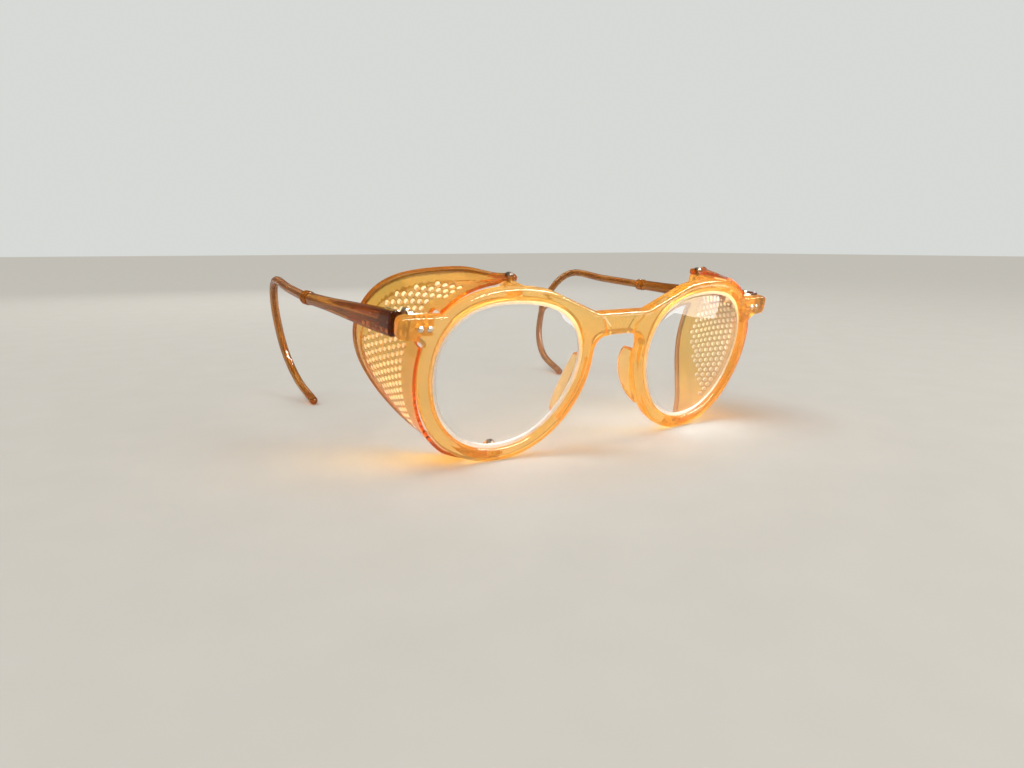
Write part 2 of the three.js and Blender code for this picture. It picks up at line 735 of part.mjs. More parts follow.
function earHookSleeve() {
  const path = hookPath();
  const tip = path.getPointAt(1);
  const end = new THREE.SphereGeometry(HOOK_RADIUS, 12, 8).translate(tip.x, tip.y, tip.z);
  const outside = rod(new PartOfCurve(path, 0, 1), HOOK_RADIUS, HOOK_STEPS, 12);
  const bore = rod(new PartOfCurve(path, 0, 0.97), CORE_RADIUS + BORE_CLEARANCE, HOOK_STEPS);
  const mouth = new THREE.LineCurve3(collarEnd, path.getPointAt(0.01));
  const opening = rod(mouth, CORE_RADIUS + BORE_CLEARANCE, 1);
  return cut(joined(outside, end), bore, opening);
}

function earCable() {
  return rod(new PartOfCurve(hookPath(), 0.002, 0.962), CORE_RADIUS, HOOK_STEPS);
}

// ---------- materials ----------

const finish = (color, roughness, metalness, opacity = 1) =>
  new THREE.MeshStandardMaterial({
    color,
    roughness,
    metalness,
    opacity,
    transparent: opacity < 1,
  });

const honeyAcetate = () => finish(0xe0a050, 0.25, 0, 0.8);
const shieldSheet = () => finish(0xd8a040, 0.3, 0, 0.7);
const brownAcetate = () => finish(0x5a2408, 0.25, 0, 0.9);
const clearGlass = () => finish(0xf4f8f8, 0.05, 0, 0.2);
const nickel = () => finish(0xb8b0a0, 0.3, 1);
const darkSteel = () => finish(0x4a3c30, 0.45, 1);

// ---------- assembly ----------

function named(name, geometry, material) {
  const mesh = new THREE.Mesh(geometry, material);
  mesh.geometry.computeVertexNormals();
  mesh.name = name;
  return mesh;
}

function sidePieces(side) {
  return [
    named(`lens_${side}`, lens(), clearGlass()),
    named(`nose_pad_${side}`, nosePad(), honeyAcetate()),
    named(`side_shield_${side}`, sideShield(), shieldSheet()),
    named(`shield_top_pin_${side}`, shieldTopPin(), darkSteel()),
    named(`shield_bottom_pin_${side}`, shieldBottomPin(), darkSteel()),
    named(`front_rivet_inner_${side}`, frontRivet(RIVET_X[0]), nickel()),
    named(`front_rivet_outer_${side}`, frontRivet(RIVET_X[1]), nickel()),
    named(`hinge_front_leaf_${side}`, hingeFrontLeaf(), nickel()),
    named(`hinge_temple_leaf_${side}`, hingeTempleLeaf(), nickel()),
    named(`hinge_screw_${side}`, hingeScrew(), nickel()),
    named(`temple_arm_${side}`, templeArm(), brownAcetate()),
    named(`temple_core_wire_${side}`, coreWire(), nickel()),
    named(`temple_collar_${side}`, templeCollar(), brownAcetate()),
    named(`ear_hook_sleeve_${side}`, earHookSleeve(), brownAcetate()),
    named(`ear_hook_cable_${side}`, earCable(), nickel()),
  ];
}

const glasses = new THREE.Group();
const leaning = new THREE.Group();
leaning.rotation.x = FORWARD_LEAN;
leaning.position.z = FRONT_HEIGHT;
leaning.add(named("front_frame", frontFrame(), honeyAcetate()));
leaning.add(...sidePieces("left"));

const rightSide = new THREE.Group();
rightSide.scale.x = -1;
rightSide.add(...sidePieces("right"));
leaning.add(rightSide);
glasses.add(leaning);

// The origin is the centre of the footprint.
const footprint = new THREE.Box3().setFromObject(glasses, true);
leaning.position.y = -(footprint.min.y + footprint.max.y) / 2;

export default glasses;
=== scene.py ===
"""Glacier glasses: clear round lenses in honey acetate, perforated side shields, cable ear hooks.

Blender works in metres here. New pieces are drawn in millimetres in the front's own frame: its
origin is midway between the lens centres, x runs along the front, y back and z up the front.
"""

import json
import math

import bpy
import numpy as np
from mathutils import Matrix, Vector
from mathutils.geometry import delaunay_2d_cdt


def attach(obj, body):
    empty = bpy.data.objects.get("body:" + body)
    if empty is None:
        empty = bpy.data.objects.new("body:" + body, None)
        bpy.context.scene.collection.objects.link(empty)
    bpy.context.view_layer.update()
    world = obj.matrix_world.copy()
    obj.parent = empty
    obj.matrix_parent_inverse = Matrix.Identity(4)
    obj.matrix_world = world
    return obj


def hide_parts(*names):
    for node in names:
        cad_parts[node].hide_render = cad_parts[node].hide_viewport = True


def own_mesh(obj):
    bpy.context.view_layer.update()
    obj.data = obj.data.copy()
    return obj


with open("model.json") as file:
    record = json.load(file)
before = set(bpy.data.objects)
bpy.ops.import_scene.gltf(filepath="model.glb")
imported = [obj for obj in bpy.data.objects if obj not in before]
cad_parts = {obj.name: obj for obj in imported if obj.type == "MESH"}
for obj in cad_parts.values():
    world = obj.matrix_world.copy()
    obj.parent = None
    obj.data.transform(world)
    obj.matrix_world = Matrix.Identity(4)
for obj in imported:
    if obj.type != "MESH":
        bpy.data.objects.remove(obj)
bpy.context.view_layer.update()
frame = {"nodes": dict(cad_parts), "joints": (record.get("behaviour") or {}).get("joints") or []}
joints = {joint["name"]: joint for joint in frame["joints"]}

MM = 0.001
SIDES = {"left": 1, "right": -1}

# Lens opening and rim, in millimetres from the lens centre; angle 0 points to the temple.
OPENING_RADIUS = 21.0
OPENING_WAVES = ((2, 0.021, -0.022), (3, -0.01, 0.034), (4, -0.013, -0.004))
RIM_WIDTH = 3.6
RIM_WIDTH_CHANGE = 0.35

# Lens
LENS_HALF_THICKNESS = 1.0
LENS_DOME = 1.8
LENS_EDGE_HALF = 0.2
LENS_EDGE_REACH = 0.6
LENS_GROUND_WIDTH = 1.05
LENS_SHARES = (0.04, 0.2, 0.4, 0.6, 0.8, 0.92, 1.0)
LENS_STEPS = 144
LENS_SHARP_ANGLE = math.radians(25)

# Side shields; angles in radians round the lens axis
PIN_Y = 4.4
SHIELD_END = math.radians(95)
SHIELD_SKINS = (0.15, 0.95)
SHIELD_DEPTH = 26.4
# Power of the cosine that draws the rear edge: above 1, it is more pointed than a circle.
REAR_EDGE_POWER = 1.67
TAB_HALF_DEPTH = 1.6
SHIELD_GAP = 0.35
SHIELD_TUCK = 0.95
TUCK_ANGLES = (math.radians(68), math.radians(80))
FLARE = 2.9
FLARE_TOP = 4.0
# The right shield's upper edge has sprung further out than the left one's.
LIP = {"left": 0.0, "right": 1.7}
LIP_STARTS = (math.radians(15), math.radians(45))
LIP_ENDS = (math.radians(66), math.radians(86))
FRONT_EDGE_Y = 1.2
TAB_EDGE_Y = 3.25
TAB_BELOW = (math.radians(48), math.radians(66))
TAB_ABOVE = (math.radians(76), math.radians(86))
# Where the sheet is cut away round the endpiece: heights, and depths behind the front.
NOTCH_Z = (9.95, 16.4)
NOTCH_DEPTH_Y = 5.0
FILLET_Z = 8.2
FILLET_DEPTH_Y = 4.2
BEAD_WIDTH = 1.5
BEAD_SWELL = 0.35
BEAD_CREST = 0.6
BEAD_PAINTED = 0.8
STEP_INSET = 4.9
STEP_SWELL = 0.12
STEP_SLOPE = 0.15
OUTER_CORNER = 1.1
INNER_CORNER = 1.0
NOTCH_CORNER = 0.6
MOUTH_CORNER = 0.5
CORNER_POINTS = 6
EDGE_BEVEL = 0.14
EDGE_BEVEL_ANGLE = math.radians(50)
UNROLLED_RADIUS = 25.5

# Points along the flat sheet's edges, and its inner points
FRONT_LOW_POINTS = 46
FRONT_HIGH_POINTS = 30
REAR_POINTS = 110
BEAD_POINTS = 130
BEAD_END = math.radians(80)
BEAD_INSETS = (0.4, 0.9, 1.1, 1.3, BEAD_WIDTH)
FILLING_STEP = 1.2

# Perforation: columns at equal depths, rows that fall towards the rear
HOLE_RADIUS = 0.62
FIRST_COLUMN_Y = 4.76
FIELD_Y = 8.5
COLUMN_PITCH = 1.87
ROW_PITCH = 1.95
ROW_SLOPE = 0.48
FIELD_LOW_U = -20.9
FIELD_LOW_SLOPE = 0.92
FIELD_TOP = math.radians(59)
FORWARD_FIELD = math.radians(47)
REAR_MARGIN = 6.6
REAR_MARGIN_ACROSS = 0.75
HOLE_ROWS = range(-20, 60)
HOLE_STEPS = 12
HOLE_TO_NOTCH = 1.5
HOLE_INSIDE = 0.95
HOLE_WALL_REACH = 1.2

# Camera
CAMERA_AT = Vector((-127.9, -206.7, 56.4)) * MM
CAMERA_YAW = math.radians(32.56)
CAMERA_PITCH = math.radians(11.16)
CAMERA_LENS = 24.75

# Stage, in metres; the lamps are turned to a point in the middle of the glasses.
FLOOR_HALF = 4.0
LAMP_TARGET = Vector((0, -0.04, 0.03))
SKY_WIDTH = math.radians(40)
SKY_STRENGTH = 1.8
SKY_DIRECTION = Vector((0.35, -0.25, -1))

# Brightness of the room round the glasses, and of its mirror image in them
ROOM_LIGHT = 0.85
MIRRORED_ROOM_LIGHT = 0.24


# ---------- the front's own frame ----------


def front_matrix():
    """Takes millimetres in the front's own frame to metres in the part's frame."""
    swing = joints["shield_swing_left"]
    up = Vector(swing["axis"]).normalized()
    across = Vector((1, 0, 0))
    back = up.cross(across)
    pin = Vector(swing["pos_m"])
    origin = pin - across * pin.x - back * PIN_Y * MM
    turn = Matrix((across, back, up)).transposed().to_4x4()
    return Matrix.Translation(origin) @ turn @ Matrix.Scale(MM, 4)


FRONT = front_matrix()
LENS_CENTRE_X = joints["shield_swing_left"]["pos_m"][0] / MM
FRONT_BOW = math.radians(4.5)


def smoothstep(value, low, high):
    share = min(max((value - low) / (high - low), 0.0), 1.0)
    return share * share * (3 - 2 * share)


def lerp(a, b, share):
    return a + (b - a) * share


def opening_radius(angle):
    wave = sum(c * math.cos(n * angle) + s * math.sin(n * angle) for n, c, s in OPENING_WAVES)
    return OPENING_RADIUS * (1 + wave)


def rim_radius(angle):
    return opening_radius(angle) + RIM_WIDTH - RIM_WIDTH_CHANGE * math.sin(angle)


def piece(name, points, faces, side):
    """A mesh from points in the front's frame, drawn for the left side and mirrored for the right."""
    sign = SIDES[side]
    placed = [FRONT @ Vector((x * sign, y, z)) for x, y, z in points]
    ordered = faces if sign > 0 else [face[::-1] for face in faces]
    mesh = bpy.data.meshes.new(f"{name}_{side}")
    mesh.from_pydata(placed, [], ordered)
    mesh.validate()
    mesh.shade_smooth()
    made = bpy.data.objects.new(f"{name}_{side}", mesh)
    bpy.context.scene.collection.objects.link(made)
    return made


# ---------- finer surfaces over the CAD nodes ----------


def refine(node, voxel, rounds):
    """Rounds off a CAD node's facets and edges; many rounds also draw in walls and holes."""
    remesh = node.modifiers.new("fine", "REMESH")
    remesh.mode = "VOXEL"
    remesh.voxel_size = voxel * MM
    remesh.use_smooth_shade = True
    smooth = node.modifiers.new("polish", "SMOOTH")
    smooth.factor = 0.5
    smooth.iterations = rounds


# ---------- lens ----------


def lens_rings():
    """(inset from the opening's edge, y, share of the radius) for each ring, front to rear."""

    def face(offset):
        return [(share, offset - LENS_DOME * (1 - share * share)) for share in LENS_SHARES]

    rings = [(share, -LENS_GROUND_WIDTH, y) for share, y in face(-LENS_HALF_THICKNESS)]
    rings += [(1.0, LENS_EDGE_REACH, y) for y in (-LENS_EDGE_HALF, LENS_EDGE_HALF)]
    rings += [(share, -LENS_GROUND_WIDTH, y) for share, y in face(LENS_HALF_THICKNESS)[::-1]]
    return rings


def lens_points(rings):
    cos_bow, sin_bow = math.cos(FRONT_BOW), math.sin(FRONT_BOW)
    points = []
    for share, reach, y in rings:
        for i in range(LENS_STEPS):
            angle = 2 * math.pi * i / LENS_STEPS
            radius = share * (opening_radius(angle) + reach)
            x = radius * math.cos(angle)
            turned = (LENS_CENTRE_X + x * cos_bow - y * sin_bow, x * sin_bow + y * cos_bow)
            points.append((*turned, radius * math.sin(angle)))
    return points


def lens_faces(ring_count):
    faces = []
    for ring in range(ring_count - 1):
        for i in range(LENS_STEPS):
            a = ring * LENS_STEPS + i
            b = ring * LENS_STEPS + (i + 1) % LENS_STEPS
            faces.append((a, a + LENS_STEPS, b + LENS_STEPS, b))
    last = (ring_count - 1) * LENS_STEPS
    faces.append(tuple(range(LENS_STEPS)))
    faces.append(tuple(last + i for i in range(LENS_STEPS))[::-1])
    return faces


def ground_rings(rings):
    """Numbers of the bands between rings that end at the lens's ground edge."""
    bands = enumerate(zip(rings, rings[1:]))
    return {i for i, (a, b) in bands if LENS_EDGE_REACH in (a[1], b[1])}


def make_lens(side, glass, ground):
    rings = lens_rings()
    lens = piece("clear_lens", lens_points(rings), lens_faces(len(rings)), side)
    lens.data.materials.append(glass)
    lens.data.materials.append(ground)
    ground_bands = ground_rings(rings)
    for polygon in lens.data.polygons:
        if polygon.index // LENS_STEPS in ground_bands:
            polygon.material_index = 1
    lens.data.set_sharp_from_angle(angle=LENS_SHARP_ANGLE)
    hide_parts(f"lens_{side}")
    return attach(lens, "front")


# ---------- side shields ----------


def shield_front_y(angle):
    tab = smoothstep(abs(angle), *(TAB_BELOW if angle < 0 else TAB_ABOVE))
    return lerp(FRONT_EDGE_Y, TAB_EDGE_Y, tab)


def shield_rear_y(angle):
    cosine = max(math.cos(angle), 0)
    return PIN_Y + TAB_HALF_DEPTH + SHIELD_DEPTH * cosine**REAR_EDGE_POWER


def shield_radius(angle, y, side):
    """Distance from the lens axis to the shield's inner surface."""
    cosine = max(math.cos(angle), 0)
    back = smoothstep(y, PIN_Y, PIN_Y + SHIELD_DEPTH)
    flare = (FLARE + FLARE_TOP * math.sin(angle)) * cosine**2 * back
    upper = smoothstep(angle, *LIP_STARTS) * (1 - smoothstep(angle, *LIP_ENDS))
    lip = LIP[side] * upper * smoothstep(y, PIN_Y, shield_rear_y(angle))
    tuck = SHIELD_TUCK * smoothstep(-angle, *TUCK_ANGLES)
    return rim_radius(angle) + SHIELD_GAP - tuck + flare + lip


def rear_normal(angle):
    """Unit vector, in the unrolled sheet, from the rear edge into the sheet."""
    step = 0.01
    slope = (shield_rear_y(angle + step) - shield_rear_y(angle - step)) / (2 * step * UNROLLED_RADIUS)
    return Vector((slope, -1)).normalized()


def rear_distance(angle, y):
    return (shield_rear_y(angle) - y) * -rear_normal(angle).y


def skin_offset(skin, angle, y):
    """How far a skin lies outside the shield's own radius; the outer one swells to the rear."""
    inner, outer = SHIELD_SKINS
    if skin == 0:
        return inner
    distance = rear_distance(angle, y)
    bead = 1 - smoothstep(distance, BEAD_CREST * BEAD_WIDTH, BEAD_WIDTH)
    step = 1 - smoothstep(distance, STEP_INSET - STEP_SLOPE, STEP_INSET + STEP_SLOPE)
    return outer + BEAD_SWELL * bead + STEP_SWELL * step


def shield_point(u, y, skin, side):
    angle = u / UNROLLED_RADIUS
    radius = shield_radius(angle, y, side) + skin_offset(skin, angle, y)
    return (LENS_CENTRE_X + radius * math.cos(angle), y, radius * math.sin(angle))


def rounded(corner, before, after, radius):
    """Points that round the corner between its two neighbours."""
    corner, before, after = Vector(corner), Vector(before), Vector(after)
    start = corner + (before - corner).normalized() * radius
    end = corner + (after - corner).normalized() * radius
    return [
        tuple(start * (1 - t) ** 2 + corner * 2 * t * (1 - t) + end * t * t)
        for t in np.linspace(0, 1, CORNER_POINTS)
    ]


def height_to_u(z):
    """Distance round the sheet at which its front part reaches a height."""
    angle = math.asin(z / UNROLLED_RADIUS)
    radius = rim_radius(angle) + SHIELD_GAP + SHIELD_SKINS[0]
    return UNROLLED_RADIUS * math.asin(z / radius)


def shield_outline():
    """The flat sheet's edge: x is the distance round the rim, y the depth behind the front."""
    shelf, low, high = (height_to_u(z) for z in (FILLET_Z, *NOTCH_Z))
    end = SHIELD_END * UNROLLED_RADIUS

    def edge(start, stop, depth_of, steps):
        return [(u, depth_of(u / UNROLLED_RADIUS)) for u in np.linspace(start, stop, steps)]

    front_low = edge(-end, shelf, shield_front_y, FRONT_LOW_POINTS)
    front_high = edge(high, end, shield_front_y, FRONT_HIGH_POINTS)
    rear = edge(end, -end, shield_rear_y, REAR_POINTS)
    mouth_low, mouth_high = (shelf, FRONT_EDGE_Y), (high, FRONT_EDGE_Y)
    inner_low = (shelf, FILLET_DEPTH_Y)
    deep_low, deep_high = (low, NOTCH_DEPTH_Y), (high, NOTCH_DEPTH_Y)
    outline = rounded(front_low[0], rear[-1], front_low[1], OUTER_CORNER)
    outline += front_low[2:-2]
    outline += rounded(mouth_low, front_low[-2], inner_low, INNER_CORNER)
    outline += rounded(inner_low, mouth_low, deep_low, INNER_CORNER)
    outline += rounded(deep_low, inner_low, deep_high, INNER_CORNER)
    outline += rounded(deep_high, deep_low, mouth_high, NOTCH_CORNER)
    outline += rounded(mouth_high, deep_high, front_high[1], MOUTH_CORNER)
    outline += front_high[2:-1]
    outline += rounded(front_high[-1], front_high[-2], rear[0], OUTER_CORNER)
    outline += rounded(rear[0], front_high[-1], rear[1], OUTER_CORNER)
    outline += rear[2:-2]
    outline += rounded(rear[-1], rear[-2], front_low[0], OUTER_CORNER)
    return outline


def in_notch(u, y, margin):
    shelf, high = height_to_u(FILLET_Z), height_to_u(NOTCH_Z[1])
    return shelf - margin < u < high + margin and y < NOTCH_DEPTH_Y + margin


def hole_centres():
    """Columns of holes from front to rear; each column is lower than the one before it."""
    top = FIELD_TOP * UNROLLED_RADIUS
    centres = []
    for y in np.arange(FIRST_COLUMN_Y, PIN_Y + SHIELD_DEPTH, COLUMN_PITCH):
        shear = ROW_SLOPE * (y - FIELD_Y)
        low = FIELD_LOW_U + FIELD_LOW_SLOPE * (y - FIELD_Y)
        if y < FIELD_Y - COLUMN_PITCH / 2:
            low = FORWARD_FIELD * UNROLLED_RADIUS
        for row in HOLE_ROWS:
            u = FIELD_LOW_U + row * ROW_PITCH - shear
            angle = u / UNROLLED_RADIUS
            across = rear_distance(angle, y) > REAR_MARGIN * REAR_MARGIN_ACROSS
            along = y < shield_rear_y(angle) - REAR_MARGIN
            in_field = low - ROW_PITCH / 4 < u < top and across and along
            if in_field and not in_notch(u, y, HOLE_TO_NOTCH):
                centres.append((u, y))
    return centres


def circle(centre):
    """A hole's edge on the flat sheet, the same for both sides: the left one has no lip."""
    u, y = centre
    squeeze = UNROLLED_RADIUS / shield_radius(u / UNROLLED_RADIUS, y, "left")
    turns = np.arange(HOLE_STEPS) * 2 * math.pi / HOLE_STEPS
    return [
        (u + HOLE_RADIUS * squeeze * math.cos(t), y + HOLE_RADIUS * math.sin(t)) for t in turns
    ]


def edge_points():
    """Points along the bead and the step in front of it, so that both stay crisp."""
    insets = [*BEAD_INSETS, STEP_INSET - 0.2, STEP_INSET, STEP_INSET + 0.2]
    points = []
    for angle in np.linspace(-BEAD_END, BEAD_END, BEAD_POINTS):
        edge = Vector((angle * UNROLLED_RADIUS, shield_rear_y(angle)))
        for inset in insets:
            u, y = edge + rear_normal(angle) * inset
            if y > shield_front_y(u / UNROLLED_RADIUS) + 1.5:
                points.append((u, y))
    return points


def filling_points(centres):
    """Inner points, so that the flat sheet can bend smoothly."""
    holes = np.array(centres)
    end = SHIELD_END * UNROLLED_RADIUS
    grid = edge_points()
    for u in np.arange(-end, end, FILLING_STEP):
        angle = u / UNROLLED_RADIUS
        for y in np.arange(shield_front_y(angle) + 0.8, shield_rear_y(angle), FILLING_STEP):
            if rear_distance(angle, y) > BEAD_WIDTH + 0.5:
                grid.append((u, y))
    return [
        (u, y)
        for u, y in grid
        if np.hypot(*(holes - (u, y)).T).min() > HOLE_RADIUS + 0.3 and not in_notch(u, y, 0.6)
    ]


def flat_sheet(centres):
    """(points, triangles) of the unrolled, perforated sheet."""
    outline = shield_outline()
    points = list(outline)
    edges = [(i, (i + 1) % len(outline)) for i in range(len(outline))]
    for centre in centres:
        start = len(points)
        ring = circle(centre)
        points += ring
        edges += [(start + i, start + (i + 1) % len(ring)) for i in range(len(ring))]
    points += filling_points(centres)
    found, _, triangles, *_ = delaunay_2d_cdt([Vector(p) for p in points], edges, [], 1, 1e-4)
    flat = [(p.x, p.y) for p in found]
    kept = [
        tuple(triangle)
        for triangle in triangles
        if not near_hole(np.mean([flat[i] for i in triangle], axis=0), centres, HOLE_INSIDE)
    ]
    return flat, kept


def near_hole(point, centres, share):
    """Whether a point of the flat sheet lies within a share of a hole's radius."""
    return np.hypot(*(np.array(centres) - point).T).min() < HOLE_RADIUS * share


def thickened(flat, triangles, side):
    """(points, faces, edges) of the sheet's two skins and the open edges that still need a wall."""
    count = len(flat)
    points = [shield_point(u, y, skin, side) for skin in (0, 1) for u, y in flat]
    faces = []
    open_edges = {}
    for a, b, c in triangles:
        faces.append((a, b, c))
        faces.append((a + count, c + count, b + count))
        for edge in ((a, b), (b, c), (c, a)):
            if edge[::-1] in open_edges:
                del open_edges[edge[::-1]]
            else:
                open_edges[edge] = True
    return points, faces, list(open_edges)


def paint_shield(shield, flat, centres):
    """Gives the hole walls the second material and the thick rear edge the third."""
    count = len(flat)
    for polygon in shield.data.polygons:
        u, y = np.mean([flat[i % count] for i in polygon.vertices], axis=0)
        if len(polygon.vertices) == 4 and near_hole((u, y), centres, HOLE_WALL_REACH):
            polygon.material_index = 1
        elif rear_distance(u / UNROLLED_RADIUS, y) < BEAD_PAINTED * BEAD_WIDTH:
            polygon.material_index = 2


def make_shield(side, materials):
    centres = hole_centres()
    flat, triangles = flat_sheet(centres)
    points, faces, edges = thickened(flat, triangles, side)
    count = len(flat)
    walls = [(b, a, a + count, b + count) for a, b in edges]
    shield = piece("perforated_shield", points, faces + walls, side)
    for material in materials:
        shield.data.materials.append(material)
    paint_shield(shield, flat, centres)
    bevel = shield.modifiers.new("edges", "BEVEL")
    bevel.limit_method = "ANGLE"
    bevel.angle_limit = EDGE_BEVEL_ANGLE
    bevel.width = EDGE_BEVEL * MM
    bevel.segments = 2
    normals = shield.modifiers.new("normals", "WEIGHTED_NORMAL")
    normals.keep_sharp = True
    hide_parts(f"side_shield_{side}")
    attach(shield, f"shield_{side}")
    press_flat(shield)
    return shield


def press_flat(shield):
    """Gives the shield its own copy of its mesh."""
    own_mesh(shield)


# ---------- materials ----------


class Nodes:
    """A new material and short calls that fill its node tree."""

    def __init__(self, name):
        self.material = bpy.data.materials.new(name)
        self.material.use_nodes = True
        self.tree = self.material.node_tree
        self.tree.nodes.clear()
        self.coords = self.add("ShaderNodeTexCoord").outputs["Object"]

    def add(self, kind, inputs=None, **settings):
        node = self.tree.nodes.new(kind)
        for key, value in settings.items():
            setattr(node, key, value)
        for key, value in (inputs or {}).items():
            if isinstance(value, bpy.types.NodeSocket):
                self.tree.links.new(value, node.inputs[key])
            else:
                node.inputs[key].default_value = value
        return node

    def noise(self, scale, detail=3.0, stretch=(1, 1, 1)):
        moved = self.add(
            "ShaderNodeMapping", {"Vector": self.coords, "Scale": stretch}
        )
        inputs = {"Vector": moved.outputs["Vector"], "Scale": scale, "Detail": detail}
        return self.add("ShaderNodeTexNoise", inputs).outputs["Fac"]

    def ramp(self, factor, stops):
        node = self.add("ShaderNodeValToRGB", {"Fac": factor})
        elements = node.color_ramp.elements
        while len(elements) < len(stops):
            elements.new(0.5)
        for element, (place, colour) in zip(elements, stops):
            element.position = place
            element.color = (*colour, 1)
        return node.outputs["Color"]

    def spread(self, factor, low, high):
        inputs = {"Value": factor, "To Min": low, "To Max": high}
        return self.add("ShaderNodeMapRange", inputs).outputs["Result"]

    def bump(self, height, strength, distance, over=None):
        inputs = {"Height": height, "Strength": strength, "Distance": distance * MM}
        if over is not None:
            inputs["Normal"] = over
        return self.add("ShaderNodeBump", inputs).outputs["Normal"]

    def along_y(self, low, high):
        """Goes from 0 to 1 between two places along the part's Y axis, in metres."""
        y = self.add("ShaderNodeSeparateXYZ", {"Vector": self.coords}).outputs["Y"]
        inputs = {"Value": y, "From Min": low, "From Max": high}
        return self.add("ShaderNodeMapRange", inputs).outputs["Result"]

    def tint(self, factor, first, second):
        inputs = {0: factor, 6: first, 7: second}
        return self.add("ShaderNodeMix", inputs, data_type="RGBA").outputs[2]

    def mix(self, factor, first, second):
        return self.add("ShaderNodeMixShader", {0: factor, 1: first, 2: second}).outputs[0]

    def finish(self, surface, volume=None):
        inputs = {"Surface": surface}
        if volume is not None:
            inputs["Volume"] = volume
        self.add("ShaderNodeOutputMaterial", inputs)
        return self.material


def acetate(name, light, deep, rim, dye, density, body, roughness, shadow, butt=None):
    """Dyed clear plastic: refracting skin, a little cloudiness and colour that grows with depth.

    `light` and `deep` are the colours of the cloudiness, `rim` a painted deeper tone where the
    surface turns away from view, standing in for light that runs a longer way through the plastic
    there;
    `dye` and `density` colour what passes, and `butt` is the colour near the hinges.
    """
    n = Nodes(name)
    clouds = n.noise(110, 3)
    flow = n.noise(260, 2, stretch=(1, 0.25, 1))
    grain = n.noise(1500, 4)
    scratches = n.noise(900, 2, stretch=(1, 5, 2))
    colour = n.ramp(clouds, [(0.3, light), (0.7, deep)])
    if butt is not None:
        colour = n.tint(n.along_y(-0.036, -0.052), colour, (*butt, 1))
    # Painted light: the colour turns towards `rim` where the surface turns away from view, standing
    # in for light that passes a longer way through the plastic.
    facing = n.add("ShaderNodeLayerWeight", {"Blend": 0.3}).outputs["Facing"]
    colour = n.tint(facing, colour, (*rim, 1))
    normal = n.bump(flow, 0.25, 0.12, n.bump(scratches, 0.06, 0.01))
    skin = {
        "Base Color": (1.0, 0.985, 0.95, 1),
        "Roughness": n.spread(grain, roughness * 0.6, roughness * 1.5),
        "IOR": 1.48,
        "Transmission Weight": 1.0,
        "Normal": normal,
    }
    clear = n.add("ShaderNodeBsdfPrincipled", skin).outputs["BSDF"]
    diffuse = n.add("ShaderNodeBsdfDiffuse", {"Color": colour}).outputs["BSDF"]
    glow = n.add("ShaderNodeBsdfTranslucent", {"Color": colour}).outputs["BSDF"]
    cloudy = n.mix(0.55, diffuse, glow)
    plastic = n.mix(n.spread(clouds, body * 0.7, body * 1.3), clear, cloudy)
    lamp_ray = n.add("ShaderNodeLightPath").outputs["Is Shadow Ray"]
    passing = n.add("ShaderNodeBsdfTransparent", {"Color": (*shadow, 1)}).outputs["BSDF"]
    surface = n.mix(lamp_ray, plastic, passing)
    inside = {"Color": (*dye, 1), "Density": density}
    return n.finish(surface, n.add("ShaderNodeVolumeAbsorption", inside).outputs["Volume"])


def honey_acetate():
    return acetate(
        "honey_acetate",
        light=(1.0, 0.8, 0.34),
        deep=(1.0, 0.68, 0.14),
        # rim: painted deeper tone where the surface turns away from view
        rim=(0.95, 0.45, 0.01),
        dye=(0.99, 0.78, 0.08),
        density=290,
        body=0.19,
        roughness=0.05,
        shadow=(0.97, 0.74, 0.36),
    )


def shield_sheet():
    return acetate(
        "shield_sheet",
        light=(0.98, 0.6, 0.1),
        deep=(0.94, 0.48, 0.04),
        # rim: painted deeper tone where the surface turns away from view
        rim=(0.72, 0.27, 0.01),
        dye=(0.99, 0.87, 0.14),
        density=1700,
        body=0.21,
        roughness=0.08,
        shadow=(0.94, 0.7, 0.3),
        butt=(0.86, 0.3, 0.01),
    )


def shield_bead():
    return acetate(
        "shield_bead",
        light=(0.72, 0.36, 0.05),
        deep=(0.6, 0.24, 0.02),
        # rim: painted deeper tone where the surface turns away from view
        rim=(0.42, 0.14, 0.01),
        dye=(0.97, 0.74, 0.12),
        density=1000,
        body=0.4,
        roughness=0.08,
        shadow=(0.9, 0.6, 0.22),
    )


def hole_wall():
    """The frosted wall of a drilled hole: pale partly because the saw marks scatter the light, and
    partly as a painted sparkle of light shining through the holes from behind.
    """
    n = Nodes("hole_wall")
    marks = n.noise(4000, 3)
    skin = {
        # Near white: partly the frosting, partly a painted sparkle of light coming through the holes
        # from behind.
        "Base Color": n.ramp(marks, [(0.3, (1.0, 0.93, 0.68)), (0.7, (1.0, 0.99, 0.92))]),
        "Roughness": 0.5,
        "IOR": 1.48,
        "Transmission Weight": 0.4,
        "Normal": n.bump(marks, 0.3, 0.01),
    }
    glow = n.add("ShaderNodeBsdfTranslucent", {"Color": (1.0, 0.96, 0.8, 1)}).outputs["BSDF"]
    return n.finish(n.mix(0.4, n.add("ShaderNodeBsdfPrincipled", skin).outputs["BSDF"], glow))


def brown_acetate():
    return acetate(
        "brown_acetate",
        light=(0.68, 0.32, 0.02),
        deep=(0.38, 0.14, 0.004),
        # rim: painted deeper tone where the surface turns away from view
        rim=(0.26, 0.09, 0.002),
        dye=(0.86, 0.62, 0.02),
        density=1000,
        body=0.32,
        roughness=0.05,
        shadow=(0.5, 0.26, 0.08),
        butt=(0.15, 0.03, 0.002),
    )


def brown_sleeve():
    return acetate(
        "brown_sleeve",
        light=(0.72, 0.36, 0.04),
        deep=(0.4, 0.15, 0.008),
        # rim: painted deeper tone where the surface turns away from view
        rim=(0.24, 0.07, 0.003),
        dye=(0.86, 0.56, 0.02),
        density=700,
        body=0.34,
        roughness=0.06,
        shadow=(0.55, 0.32, 0.12),
    )


